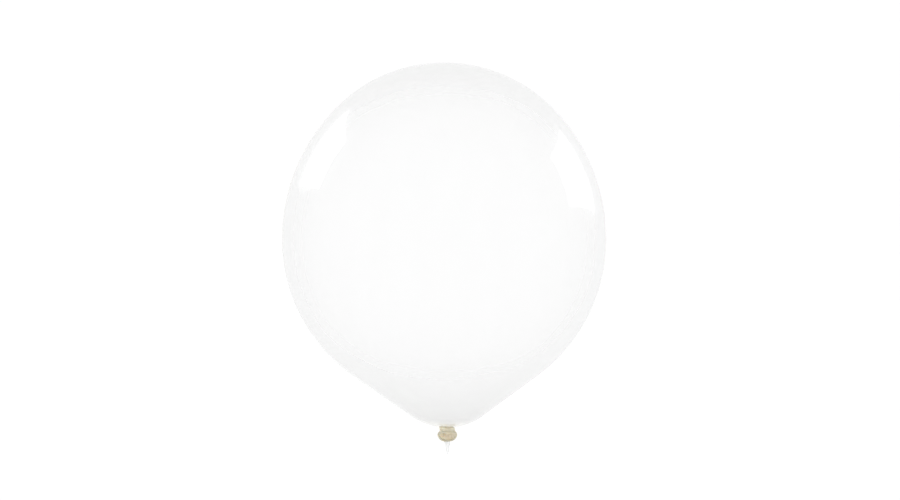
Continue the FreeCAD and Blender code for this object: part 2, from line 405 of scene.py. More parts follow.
@dataclass(frozen=True)
class FloorFinish:
    """Matt white paper with a faint tooth."""

    name: str = "studio_paper"
    white: Colour = (0.985, 0.985, 0.985, 1.0)
    off_white: Colour = (0.978, 0.979, 0.98, 1.0)
    glow: float = 0.02
    roughness: float = 0.85
    roughness_swing: float = 0.1
    gloss_level: float = 0.1
    tooth_per_metre: float = 240.0
    tooth_depth: float = 0.0001
    tooth_strength: float = 0.2

    def material(self) -> bpy.types.Material:
        """The paper's material."""
        canvas = Canvas(self.name)
        tooth = canvas.noise(self.tooth_per_metre, 3.0)
        return canvas.surface(
            {
                "Base Color": canvas.blended(tooth, self.white, self.off_white),
                "Roughness": self.roughness + tooth * self.roughness_swing,
                "Specular IOR Level": self.gloss_level,
                "Normal": canvas.bump(tooth, self.tooth_depth, self.tooth_strength),
                "Emission Color": (1.0, 1.0, 1.0, 1.0),
                "Emission Strength": self.glow,
            }
        )


KNOT_LATEX = LatexFinish(
    "knot_latex", (0.86, 0.82, 0.69, 1.0), (0.86, 0.79, 0.53, 1.0), (0.73, 0.65, 0.49, 1.0)
)
# Painted light: the gather is paler than the film, partly its own tone and partly to lift the shade in the
# hollow over the knot.
GATHER_LATEX = LatexFinish(
    "gather_latex", (0.92, 0.91, 0.87, 1.0), (0.90, 0.88, 0.80, 1.0), (0.82, 0.78, 0.68, 1.0),
    solid=0.12, glow_through=0.0,
)
NECK_LATEX = LatexFinish(
    "neck_latex", (0.90, 0.88, 0.81, 1.0), (0.89, 0.85, 0.73, 1.0), (0.74, 0.67, 0.54, 1.0)
)
MOUTH_LATEX = LatexFinish(
    "mouth_latex", (0.83, 0.77, 0.64, 1.0), (0.84, 0.77, 0.56, 1.0), (0.70, 0.61, 0.46, 1.0), roughness=0.42
)
LIP_LATEX = LatexFinish(
    "lip_latex", (0.60, 0.57, 0.47, 1.0), (0.68, 0.62, 0.41, 1.0), (0.52, 0.46, 0.33, 1.0)
)
TIP_LATEX = LatexFinish(
    "tip_latex", (0.86, 0.87, 0.875, 1.0), (0.80, 0.81, 0.81, 1.0), (0.66, 0.66, 0.65, 1.0),
    solid=0.21, glow_through=0.0,
)


# ---- shapes ----


def rounded_path(points: list[Any], count: int) -> np.ndarray:
    """A smooth path through points: a uniform Catmull-Rom curve, even in the points' own order.

    Between two points it is the cubic whose slope at each is half the step between that point's neighbours.

    Args:
        points: the points that it goes through, each as numbers in a row.
        count: how many points it is read at.

    Returns:
        One row for each reading.
    """
    known = np.asarray(points, float)
    padded = np.vstack([2 * known[0] - known[1], known, 2 * known[-1] - known[-2]])
    along = np.linspace(0.0, len(known) - 1.0, count)
    start = np.minimum(along.astype(int), len(known) - 2)
    t = (along - start)[:, None]
    a, b, c, d = (padded[start + k] for k in range(4))
    return 0.5 * (2 * b + (c - a) * t + (2 * a - 5 * b + 4 * c - d) * t**2 + (3 * b - a - 3 * c + d) * t**3)


def arc(centre: tuple[float, float], radius: float, first: float, last: float, count: int) -> np.ndarray:
    """Points (out, up) on a circle from one angle to just before another, in degrees above outwards."""
    angle = np.radians(np.linspace(first, last, count, endpoint=False))
    return np.stack([centre[0] + radius * np.cos(angle), centre[1] + radius * np.sin(angle)], axis=1)


def all_round(count: int) -> np.ndarray:
    """So many even angles round a full turn, in radians."""
    return np.linspace(0.0, FULL_TURN, count, endpoint=False)


def revolved(out: np.ndarray, up: np.ndarray, angle: np.ndarray) -> np.ndarray:
    """Points (out * cos(angle), out * sin(angle), up) round the vertical axis."""
    return np.stack(np.broadcast_arrays(out * np.cos(angle), out * np.sin(angle), up), axis=-1)


def bell(value: np.ndarray, middle: float, width: float) -> np.ndarray:
    """A smooth hump of height 1 at middle that falls off over width."""
    return np.exp(-(((value - middle) / width) ** 2))


@dataclass(frozen=True)
class Pleats:
    """Uneven pleats round an axis: a sum of cosine waves, each with its own count, share and start."""

    counts: tuple[int, ...] = (17, 11, 7, 26)
    shares: tuple[float, ...] = (0.50, 0.30, 0.20, 0.18)
    starts: tuple[float, ...] = (0.4, 1.9, 4.1, 2.6)

    def wave(self, angle: np.ndarray) -> np.ndarray:
        """The pleats' height, about -1 to 1, at each angle round the axis."""
        counts, shares, starts = (np.array(v) for v in (self.counts, self.shares, self.starts))
        return (shares * np.cos(angle[..., None] * counts + starts)).sum(-1)


GATHERS = Pleats()


@dataclass
class Surface:
    """A grid of points, rows by columns, that becomes one mesh.

    Each four neighbours make a face. Columns or rows may join round, and the first or last row may close
    to one point at its middle. The faces are turned so that, taken together, they point away from a centre:
    the sum over faces of area vector times (middle - centre) is positive.
    """

    name: str
    points: np.ndarray
    centre: tuple[float, float, float] | None = None
    joins_rows: bool = False
    joins_columns: bool = True
    first_pole: bool = False
    last_pole: bool = False
    facts: dict[str, np.ndarray] = field(default_factory=dict)

    def _quads(self) -> np.ndarray:
        """The four corners of each face.

        Returns:
            Rows of four places in the flattened grid.
        """
        rows, columns = self.points.shape[:2]
        row = np.arange(rows if self.joins_rows else rows - 1)
        column = np.arange(columns if self.joins_columns else columns - 1)
        here, across = np.meshgrid(row, column, indexing="ij")
        below, beside = (here + 1) % rows, (across + 1) % columns
        upper, lower = here * columns, below * columns
        corners = (upper + across, upper + beside, lower + beside, lower + across)
        return np.stack(corners, axis=-1).reshape(-1, 4)

    def _pole(self, row: int, tip: int, inward: bool) -> np.ndarray:
        """The triangles from one row of the grid to its pole.

        Args:
            row: the row.
            tip: the pole's place among the points.
            inward: True at the first row, where the triangles go round the other way.

        Returns:
            Rows of three places.
        """
        columns = self.points.shape[1]
        here = row * columns + np.arange(columns)
        beside = row * columns + (np.arange(columns) + 1) % columns
        pair = (beside, here) if inward else (here, beside)
        return np.stack([*pair, np.full(columns, tip)], axis=1)

    def build(self, material: bpy.types.Material) -> bpy.types.Object:
        """Makes the mesh object at the origin and dresses it.

        Args:
            material: the finish of all its faces.

        Returns:
            The object.
        """
        places = self.points.reshape(-1, 3)
        grid = self.points.shape[:2]
        values = {key: np.broadcast_to(value, grid).reshape(-1) for key, value in self.facts.items()}
        quads, triangles = self._quads(), np.zeros((0, 3), int)
        for wanted, row in ((self.first_pole, 0), (self.last_pole, grid[0] - 1)):
            if wanted:
                triangles = np.vstack([triangles, self._pole(row, len(places), row == 0)])
                places = np.vstack([places, self.points[row].mean(0)])
                values = {key: np.append(v, self._row_mean(v, row)) for key, v in values.items()}
        quads, triangles = self._turned(places, quads, triangles)
        mesh = bpy.data.meshes.new(self.name)
        mesh.from_pydata(places.tolist(), [], quads.tolist() + triangles.tolist())
        for key, value in values.items():
            mesh.attributes.new(key, "FLOAT", "POINT").data.foreach_set("value", value.astype(np.float32))
        mesh.polygons.foreach_set("use_smooth", np.ones(len(mesh.polygons), bool))
        mesh.materials.append(material)
        mesh.update()
        made = bpy.data.objects.new(self.name, mesh)
        bpy.context.scene.collection.objects.link(made)
        return made

    def _row_mean(self, values: np.ndarray, row: int) -> float:
        """The mean of a flattened fact over one row of the grid."""
        columns = self.points.shape[1]
        return float(values[row * columns : (row + 1) * columns].mean())

    def _turned(
        self, places: np.ndarray, quads: np.ndarray, triangles: np.ndarray
    ) -> tuple[np.ndarray, np.ndarray]:
        """Turns every face round if, taken together, they point at the centre.

        Args:
            places: the points.
            quads: the four-cornered faces.
            triangles: the three-cornered faces.

        Returns:
            The faces of both kinds, pointing outwards.
        """
        a, b, c, d = (places[quads[:, k]] for k in range(4))
        centre = places.mean(0) if self.centre is None else np.asarray(self.centre)
        outward = (np.cross(c - a, d - b) * ((a + b + c + d) / 4 - centre)).sum()
        return (quads, triangles) if outward > 0 else (quads[:, ::-1], triangles[:, ::-1])


def walled(piece: bpy.types.Object, thickness: float) -> bpy.types.Object:
    """Gives an open skin its real wall, inwards from the surface it was made on."""
    wall = piece.modifiers.new("wall", "SOLIDIFY")
    wall.thickness = thickness
    wall.offset = -1.0
    wall.use_rim = True
    return piece


def placed_on(piece: bpy.types.Object, body: Body, finish: Slot, *nodes: str) -> bpy.types.Object:
    """Hangs a rigid piece on its body, in place of CAD nodes, which it hides."""
    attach(piece, body.value)
    return named(piece, finish, *nodes)


def named(piece: bpy.types.Object, finish: Slot, *nodes: str) -> bpy.types.Object:
    """Hides the CAD nodes that a piece stands for, and reports them in the log."""
    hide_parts(*nodes)
    log.info("%s stands for %s", piece.name, ", ".join(nodes))
    return piece


# ---- the blown-up film ----


@dataclass
class InflatedFilm:
    """The blown-up skin, from its crown down to the small roll where it turns up to the neck.

    Its outline is a crown arc, a flatter shoulder arc that is upright at the widest level, a lower side arc,
    a straight flank, a tight heel arc and the roll, each touching the next, and a roof over the neck's hollow
    shuts the air in. Under the balloon it is drawn into pleats that fade out within a few centimetres, and
    its centre line leans to the knot's.
    """

    widest_radius: float
    middle_x: float
    crown_level: float
    crown_fullness: float = 1.024
    crown_rise: float = 163.4 * MM
    lower_side_radius: float = 155.6 * MM
    flank_angle: float = 35.5
    heel_radius: float = 50.0 * MM
    heel_middle: float = 3.4 * MM
    throat_radius: float = 10.4 * MM
    bottom_level: float = -2.9 * MM
    roll_radius: float = 0.8 * MM
    crown_start: float = 89.3
    roll_end: float = -190.0
    roof: tuple[tuple[float, float], ...] = ((8.7, 0.3), (6.2, 2.2), (3.4, 2.95), (0.3, 3.1))
    columns: int = 216
    pleat_height: float = 0.34 * MM
    pleat_reach: float = 9.0 * MM
    pleat_start: float = 7.5 * MM
    pleat_ease: float = 2.0 * MM
    rim_radius: float = 9.4 * MM
    rim_width: float = 5.0 * MM
    rim_height: float = 3.0 * MM
    rim_sag: float = 0.18 * MM
    thick_height: float = 26.0 * MM
    roof_radius: float = 6.0 * MM
    roof_ease: float = 3.0 * MM
    crown_thickness: float = 0.35
    crown_height: float = 30.0 * MM
    lean_height: float = 120.0 * MM

    @property
    def widest_level(self) -> float:
        """The height of the widest level."""
        return self.crown_level - self.crown_rise

    def outline(self) -> np.ndarray:
        """The outline as rows of (out, up), from just below the crown, round the roll, to the roof's middle.

        Each arc's centre lies on the line through the end of the arc before it and that arc's own centre.

        Returns:
            The rows.
        """
        wide, level = self.widest_radius, self.widest_level
        crown = self.crown_fullness * wide * wide / self.crown_rise
        dip = self.crown_rise - crown
        shoulder = (dip * dip + wide * wide - crown * crown) / (2.0 * (wide - crown))
        meeting = math.degrees(math.atan2(dip, shoulder - wide))
        flank = self.flank_angle - 90.0
        heel_centre = (self.heel_middle, self.bottom_level + self.heel_radius)
        last = -math.degrees(math.acos((self.throat_radius - self.heel_middle) / self.heel_radius))
        inner = self.heel_radius - self.roll_radius
        toward = math.radians(last)
        roll_centre = (heel_centre[0] + inner * math.cos(toward), heel_centre[1] + inner * math.sin(toward))
        side_centre = (wide - self.lower_side_radius, level)
        side = arc(side_centre, self.lower_side_radius, 0.0, flank, 44)
        side_end = arc(side_centre, self.lower_side_radius, flank, flank, 1)[0]
        heel = arc(heel_centre, self.heel_radius, flank, last, 30)
        straight = side_end + np.linspace(0.0, 1.0, 16, endpoint=False)[:, None] * (heel[0] - side_end)
        roll = arc(roll_centre, self.roll_radius, last, self.roll_end, 11)
        roof = rounded_path([roll[-1], *np.multiply(self.roof, MM)], 15)
        top = arc((0.0, level + dip), crown, self.crown_start, meeting, 52)
        upper_side = arc((wide - shoulder, level), shoulder, meeting, 0.0, 32)
        return np.vstack([top, upper_side, side, straight, heel, roll, roof[1:]])

    def centre_line(self, level: np.ndarray) -> np.ndarray:
        """The film's middle at each height: the knot's at the bottom, easing to its own higher up."""
        low = 1.0 - np.clip((level - self.bottom_level) / self.lean_height, 0.0, 1.0)
        return self.middle_x * (1.0 - low**2)

    def build(self) -> bpy.types.Object:
        """The film as one closed skin of revolution.

        A point is the outline's, moved along the outline's normal by the pleats and down a little by a
        bell-shaped sag at the rim, then turned round the axis:
        x = middle + out * cos(angle), y = out * sin(angle), z = up.
        Its thickness, from 0 to 1, falls off as exp(-height / thick_height) above the bottom and, from
        crown_thickness, as exp(-depth / crown_height) below the crown. The roof is thin.

        Returns:
            The film.
        """
        line = self.outline()
        step = np.gradient(line, axis=0)
        normal = np.stack([-step[:, 1], step[:, 0]], axis=1) / np.linalg.norm(step, axis=1)[:, None]
        angle = all_round(self.columns)
        below = line[:, 1] < self.widest_level
        fade = np.where(below, np.exp(-np.abs(line[:, 0] - self.throat_radius) / self.pleat_reach), 0.0)
        fade = fade * np.clip((line[:, 0] - self.pleat_start) / self.pleat_ease, 0.0, 1.0)
        lift = self.pleat_height * fade[:, None] * GATHERS.wave(angle)[None, :]
        sag = bell(line[:, 0], self.rim_radius, self.rim_width)
        sag = sag * bell(line[:, 1], self.bottom_level, self.rim_height)
        out = line[:, :1] + lift * normal[:, :1]
        up = line[:, 1:] + lift * normal[:, 1:] - self.rim_sag * sag[:, None]
        points = np.stack([self.centre_line(up) + out * np.cos(angle), out * np.sin(angle), up], axis=-1)
        low = np.exp(-(line[:, 1] - self.bottom_level) / self.thick_height)
        low = low * np.clip((line[:, 0] - self.roof_radius) / self.roof_ease, 0.0, 1.0)
        high = self.crown_thickness * np.exp(-(self.crown_level - line[:, 1]) / self.crown_height)
        thickness = np.clip(low + high, 0.0, 1.0)[:, None]
        film = Surface(
            "film_skin",
            points,
            centre=(self.middle_x, 0.0, self.widest_level),
            first_pole=True,
            last_pole=True,
            facts={"thickness": thickness},
        )
        return placed_on(film.build(FilmFinish().material()), Body.BALLOON, Slot.FILM, "envelope")


# ---- the gathered neck and the ribbon waist ----


@dataclass
class GatheredNeck:
    """The neck drawn together under the balloon, and the pinched waist that a ribbon ties round."""

    throat_level: float
    roof_level: float
    gather_path: tuple[tuple[float, float], ...] = (
        (9.75, 0.10), (9.1, 0.30), (7.6, 0.60), (5.7, 0.84), (3.9, 0.96), (2.3, 1.0),
    )
    waist_path: tuple[tuple[float, float], ...] = ((2.2, 0.35), (2.05, -0.9), (2.3, -2.3), (2.55, -3.4))
    waist_head: tuple[tuple[float, float], ...] = ((3.4, 0.0), (2.65, -0.45))
    head_gap: float = 0.15 * MM
    wall: float = 0.35 * MM
    columns: int = 216
    edge_lift: float = 0.20 * MM
    middle_lift: float = 0.55 * MM
    twist: float = 0.35
    waist_pleats: Pleats = Pleats((11, 7, 15), (0.55, 0.35, 0.2), (0.3, 2.2, 1.1))
    waist_flute: float = 0.075
    waist_twist: float = 0.9

    def gather(self) -> bpy.types.Object:
        """The pleated roof of the little hollow over the knot.

        A path from the roll to the waist, given as (out in millimetres, share of the rise), is turned round
        the axis, and moved up and down by the film's own pleats, which deepen and then close up as they come
        together.

        Returns:
            The gather.
        """
        low, high = self.throat_level, self.roof_level
        rise = high - low
        path = rounded_path([(out * MM, low + share * rise) for out, share in self.gather_path], 44)
        inward = np.linspace(0.0, 1.0, len(path))[:, None]
        angle = all_round(self.columns)[None, :]
        wave = GATHERS.wave(angle + self.twist * inward**2)
        lift = (self.edge_lift + self.middle_lift * np.sin(math.pi * inward**0.8)) * wave
        out = path[:, :1] - 0.5 * lift * (1.0 - inward)
        up = np.minimum(path[:, 1:] + lift * (0.25 + 0.6 * inward) * (1.0 - inward**4), high)
        points = revolved(out, up, angle)
        # The fold value, which the finish turns into painted shade, grows towards the middle, the hollow over
        # the knot, as well as in the pleats.
        fold = np.clip(0.5 + 0.7 * wave, 0.0, 1.0) * (0.35 + 0.65 * inward)
        skin = Surface("gathered_neck", points, centre=(0.0, 0.0, 0.05), facts={"fold": fold})
        piece = walled(skin.build(GATHER_LATEX.material()), self.wall)
        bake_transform(piece)
        return named(piece, Slot.NECK, "neck_gather")

    def waist(self) -> bpy.types.Object:
        """The pinched neck as a fluted, slightly twisted column that flares into the gather and the knot.

        Its radius follows a smooth path down the axis, times 1 + waist_flute * wave, where the wave is the
        pleats' at angle + waist_twist * depth. The path is in millimetres, its head measured from just under
        the gather.

        Returns:
            The waist.
        """
        top = self.roof_level - self.head_gap
        head = np.multiply(self.waist_head, MM) + (0.0, top)
        path = rounded_path([*head, *np.multiply(self.waist_path, MM)], 40)
        down = np.linspace(0.0, 1.0, len(path))[:, None]
        angle = all_round(180)[None, :]
        wave = self.waist_pleats.wave(angle + self.waist_twist * down)
        out = path[:, :1] * (1.0 + self.waist_flute * wave)
        points = revolved(out, path[:, 1:], angle)
        # The fold value, which the finish turns into painted shade, follows the flutes' hollows.
        fold = np.clip(0.45 - 0.7 * wave, 0.0, 1.0)
        column = Surface("waist_pinch", points, first_pole=True, last_pole=True, facts={"fold": fold})
        piece = column.build(NECK_LATEX.material())
        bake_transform(piece)
        return named(piece, Slot.KNOT, "neck_waist")


# ---- the knot ----


@dataclass
class OverhandKnot:
    """The turn of neck that goes round the strand, and the strand that comes out through it."""

    wrap_low: Vector
    wrap_high: Vector
    core_low: Vector
    lean: float = math.radians(-3.0)
    nod: float = math.radians(2.0)
    shift_x: float = -0.35 * MM
    slack: float = 0.25 * MM
    settle: float = 0.25 * MM
    half_width: float = 2.25 * MM
    crease_room: float = 0.12 * MM
    gap: float = 0.10 * MM
    oval: float = 0.10 * MM
    squeeze: float = 0.98
    crease_heights: tuple[float, float] = (0.055, 0.035)
    ridge_height: float = 0.06
    tuck_angle: float = 4.9
    tuck_width: float = 0.30
    tuck_depth: float = 0.10
    strand_top: tuple[tuple[float, float], ...] = ((2.3, -2.2), (2.9, -3.6), (2.95, -6.0))
    strand_end: tuple[tuple[float, float], ...] = ((2.9, 1.9), (2.45, 0.75), (1.4, 0.25), (0.25, 0.45))
    strand_flute: float = 0.085
    strand_twist: float = 3.2
    dome_flute: float = 0.16 * MM

    def turn(self) -> bpy.types.Object:
        """One fat turn of rolled-up neck, closed on itself, with creases that wind along it.

        Its middle is nearly a circle. Round that, the section is an ellipse, its radius times 1 + creases.
        The creases are cosines of (5 * round + 3 * along) and (8 * round - 2 * along), with one sharper ridge
        that wanders along it and one tuck across it. The whole turn leans and nods a little.

        Returns:
            The turn.
        """
        outer = self.wrap_high.x + self.slack
        thick = (self.wrap_high.z - self.wrap_low.z) / 2.0 - self.gap - self.crease_room
        middle = (self.wrap_high.z + self.wrap_low.z) / 2.0 - self.settle
        wide = self.half_width - self.crease_room
        along = all_round(192)[:, None]
        around = all_round(56)[None, :]
        past_tuck = np.mod(along - self.tuck_angle, FULL_TURN)
        tuck = bell(past_tuck, 0.0, self.tuck_width) + bell(past_tuck, FULL_TURN, self.tuck_width)
        large, small = self.crease_heights
        creases = large * np.cos(5 * around + 3 * along) + small * np.cos(8 * around - 2 * along + 1.3)
        ridge = self.ridge_height * bell(np.mod(around + 0.25 * np.sin(along), FULL_TURN), 2.2, 0.22)
        swell = 1.0 + creases + ridge - self.tuck_depth * tuck
        out = (outer - self.half_width) - self.oval * np.cos(2 * along) + wide * swell * np.cos(around)
        up = middle + thick * swell * np.sin(around) + self.crease_room * tuck
        x = out * np.cos(along) + self.shift_x
        y = self.squeeze * out * np.sin(along)
        points = np.stack([x, y, up + x * math.tan(self.lean) + y * math.tan(self.nod)], axis=-1)
        # The fold value, which the finish turns into painted shade, follows the creases and the tuck.
        fold = np.clip(0.25 - 6.0 * creases + 0.7 * tuck, 0.0, 1.0)
        loop = Surface("knot_turn", points, joins_rows=True, facts={"fold": fold})
        return placed_on(loop.build(KNOT_LATEX.material()), Body.KNOT, Slot.KNOT, "knot_wrap")

    def strand(self) -> bpy.types.Object:
        """The strand through the turn, twisted like cord, ending in a swirled dome inside the mouth.

        Its radius follows a smooth path down the axis, times 1 + strand_flute * wave, where the wave is of
        cosines of 5 and 9 times (angle + strand_twist * depth ** 1.5). The flutes run on over the dome to its
        middle. The path is in millimetres, its end measured from the bottom of the strand.

        Returns:
            The strand.
        """
        end = np.multiply(self.strand_end, MM) + (0.0, self.core_low.z)
        path = rounded_path([*np.multiply(self.strand_top, MM), *end], 72)
        down = np.linspace(0.0, 1.0, len(path))[:, None]
        angle = all_round(160)[None, :]
        twisted = angle + self.strand_twist * down**1.5
        wave = 0.7 * np.cos(5 * twisted) + 0.3 * np.cos(9 * twisted + 1.0)
        out = path[:, :1] * (1.0 + self.strand_flute * wave)
        up = path[:, 1:] - self.dome_flute * wave * np.clip(down * 4.0 - 3.0, 0.0, 1.0)
        points = revolved(out, up, angle)
        # The fold value, which the finish turns into painted shade, follows the twisted flutes' hollows.
        fold = np.clip(0.35 - 0.8 * wave, 0.0, 1.0)
        core = Surface("knot_strand", points, first_pole=True, last_pole=True, facts={"fold": fold})
        return placed_on(core.build(MOUTH_LATEX.material()), Body.KNOT, Slot.KNOT, "knot_core")


# ---- the mouth, its rolled lip and the hanging tip ----


@dataclass(frozen=True)
class Ring:
    """The tilted ring that one face of the skirt starts from.

    The face lies side times the wall away from the middle of the wall and swells by bulge half way down.
    """

    radius: float
    level: float
    tilt: float
    side: float
    bulge: float


@dataclass
class Mouth:
    """The open end of the neck below the knot: a fluted skirt, its rolled lip and a thin hanging tip."""

    lip_half_width: float = 8.1 * MM
    lip_half_depth: float = 6.05 * MM
    lip_tilt: float = math.radians(45.0)
    lip_centre: tuple[float, float, float] = (0.0, -2.3 * MM, -11.9 * MM)
    bead_radius: float = 0.97 * MM
    fullness: float = 0.72
    egg: float = 0.10
    lift: float = 0.26
    skirt_wall: float = 0.55 * MM
    shoulder: Ring = Ring(6.0 * MM, -5.3 * MM, math.radians(6.0), 0.5, 0.35 * MM)
    throat: Ring = Ring(2.9 * MM, -8.3 * MM, math.radians(14.0), -0.5, 0.10 * MM)
    bend_start: tuple[float, float, float] = (0.0, -6.0 * MM, -5.0 * MM)
    bend_length: float = 3.3 * MM
    bend_slant: float = math.radians(12.0)
    wobble: float = 0.22 * MM
    flutes: Pleats = Pleats((9, 13, 6), (0.5, 0.35, 0.25), (0.9, 2.4, 5.0))
    flute_height: float = 0.40 * MM
    flute_turn: float = 0.55
    groove_heights: tuple[float, float] = (0.06, 0.035)
    tip_inset: float = 0.35 * MM
    tip_rise: float = 0.9 * MM
    tip_end: float = 0.28 * MM
    tip_waver: float = 0.14 * MM
    tip_curl: float = 0.35 * MM
    tip_cup: float = 0.40 * MM
    tip_ripple: float = 0.07 * MM
    tip_wall: float = 0.32 * MM

    def lip_path(self, angle: np.ndarray) -> np.ndarray:
        """The middle of the lip's bead: an egg, wider at the front, in a plane tilted forwards.

        across = half width * sign(c) * |c| ** fullness * (1 - egg * s) and
        down = half depth * (s - lift * c * c),
        where c and s are the angle's cosine and sine, so its widest part is above its middle.

        Args:
            angle: the angle round the lip, in radians.

        Returns:
            Points, with one more dimension than angle.
        """
        cosine = np.cos(angle)
        full = np.sign(cosine) * np.abs(cosine) ** self.fullness
        across = self.lip_half_width * full * (1.0 - self.egg * np.sin(angle))
        down = self.lip_half_depth * (np.sin(angle) - self.lift * cosine**2)
        wobble = self.wobble * np.sin(3 * angle + 0.6)
        back = np.array([0.0, math.cos(self.lip_tilt), -math.sin(self.lip_tilt)])
        face = np.array([0.0, -math.sin(self.lip_tilt), -math.cos(self.lip_tilt)])
        side = np.array([1.0, 0.0, 0.0])
        spread = across[..., None] * side + down[..., None] * back + wobble[..., None] * face
        return np.asarray(self.lip_centre) + spread

    def skirt(self) -> bpy.types.Object:
        """The neck flaring from under the knot to the lip, thick at the knot and thin at the lip.

        Its outside goes from a wide ring tucked under the turn to the lip's path, and its inside goes from
        the same path back to a small tilted ring round the strand. The share of the way is depth ** 0.8.
        Flutes that wind a little move both in and out, and fade at the ends.

        Returns:
            The skirt.
        """
        angle = all_round(224)[None, :]
        depth = np.linspace(0.0, 1.0, 44)[:, None]
        outer = self._flare(angle, depth, self.shoulder)
        inner = self._flare(angle, depth, self.throat)
        wave = self._flutes(angle, depth)
        # The fold value, which the finish turns into painted shade, is deeper in the flutes and towards the
        # knot, under the turn.
        fold = np.clip(0.30 - 0.75 * wave * (1.0 - 0.6 * depth) + 0.25 * (1.0 - depth), 0.0, 1.0)
        skin = Surface(
            "mouth_flare",
            np.concatenate([outer, inner[::-1]]),
            centre=(0.0, -1.2 * MM, -10.3 * MM),
            joins_rows=True,
            facts={"fold": np.concatenate([fold, fold[::-1]])},
        )
        piece = skin.build(MOUTH_LATEX.material())
        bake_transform(piece)
        return named(piece, Slot.MOUTH, "mouth_skirt")

    def _flutes(self, angle: np.ndarray, depth: np.ndarray) -> np.ndarray:
        """The height of the flutes, about -1 to 1, which wind by flute_turn from the lip to the throat."""
        return self.flutes.wave(angle + self.flute_turn * (1.0 - depth) ** 1.5)

    def _flare(self, angle: np.ndarray, depth: np.ndarray, ring: Ring) -> np.ndarray:
        """One face of the skirt: (1 - share) * ring + share * lip's path, moved by flutes, bulge and wall.

        Args:
            angle: the angles round it.
            depth: the shares of the way down.
            ring: the ring it starts from.

        Returns:
            Points, rows by columns.
        """
        share = (depth**0.8)[..., None]
        along, across = ring.radius * np.sin(angle), ring.radius * np.cos(angle)
        level = ring.level - along * math.sin(ring.tilt)
        start = np.stack([across, along * math.cos(ring.tilt), level], axis=-1)
        radial = np.stack([np.cos(angle), 0.75 * np.sin(angle), -0.45 * np.sin(angle)], axis=-1)
        flute = self.flute_height * np.sin(math.pi * depth**0.7) * self._flutes(angle, depth)
        push = flute + ring.bulge * np.sin(math.pi * depth) + ring.side * self.skirt_wall
        return (1.0 - share) * start + share * self.lip_path(angle) + push[..., None] * radial

    def lip(self) -> bpy.types.Object:
        """The rolled bead: a round section carried along the lip's path, with fine grooves winding round it.

        The section's radius is the bead's times 1 + grooves, where the grooves are cosines of
        (3 * round + 7 * along) and (5 * round - 11 * along).

        Returns:
            The lip.
        """
        along = all_round(256)
        around = all_round(32)[None, :]
        path = self.lip_path(along)
        ahead = np.roll(path, -1, axis=0) - np.roll(path, 1, axis=0)
        ahead /= np.linalg.norm(ahead, axis=1)[:, None]
        face = np.array([0.0, -math.sin(self.lip_tilt), -math.cos(self.lip_tilt)])
        outward = np.cross(ahead, face)
        outward /= np.linalg.norm(outward, axis=1)[:, None]
        upward = np.cross(outward, ahead)
        large, small = self.groove_heights
        grooves = large * np.cos(3 * around + 7 * along[:, None])
        grooves = grooves + small * np.cos(5 * around - 11 * along[:, None] + 0.7)
        radius = (self.bead_radius * (1.0 + grooves))[..., None]
        section = np.cos(around)[..., None] * outward[:, None, :]
        section = section + np.sin(around)[..., None] * upward[:, None, :]
        # The fold value, which the finish turns into painted shade, follows the grooves.
        fold = np.clip(0.30 - 7.0 * grooves, 0.0, 1.0)
        points = path[:, None, :] + radius * section
        bead = Surface("rolled_lip", points, joins_rows=True, facts={"fold": fold})
        return placed_on(bead.build(LIP_LATEX.material()), Body.TAIL, Slot.LIP, "lip_bead")

    def tip(self, low: Vector, high: Vector) -> bpy.types.Object:
        """The thin end that hangs from the back of the lip: a cupped leaf that tapers and curls a little.

        Its half width is root * (1 - depth ** 1.4) + tip_end, with a slight waver, and it is cupped by the
        square of the place across. Its top is tip_rise above its CAD node's, inside the lip.

        Args:
            low: the lowest corner of its CAD node.
            high: the highest corner of its CAD node.

        Returns:
            The tip.
        """
        depth = np.linspace(0.0, 1.0, 60)[:, None]
        across = np.linspace(-1.0, 1.0, 25)[None, :]
        root = high.x - self.tip_inset
        waver = self.tip_waver * np.sin(9.0 * depth + 0.5) * (1.0 - depth)
        half = root * (1.0 - depth**1.4) + self.tip_end + waver
        middle_y = (low.y + high.y) / 2.0
        curl = self.tip_curl * np.sin(2.6 * depth) - 0.2 * MM
        cup = self.tip_cup * (1.0 - depth) * across**2
        wave = np.cos(5.0 * across + 9.0 * depth)
        x = half * across + self.tip_curl * np.sin(2.2 * depth) * depth
        y = middle_y + curl + cup + self.tip_ripple * wave
        top = high.z + self.tip_rise
        z = top - (top - low.z) * depth + 0 * across
        # The fold value, which the finish turns into painted shade, is deepest at the tip's top under the lip
        # and follows its ripples.
        fold = np.clip(0.6 - 1.2 * depth + 0.25 * wave, 0.0, 1.0)
        leaf = Surface(
            "hanging_tip",
            np.stack([x, y, z], axis=-1),
            centre=(0, middle_y - 0.1, z.mean()),
            joins_columns=False,
            facts={"fold": fold},
        )
        piece = walled(leaf.build(TIP_LATEX.material()), self.tip_wall)
        return placed_on(piece, Body.TAIL, Slot.TIP, "tail_tip")


# ---- the studio ----


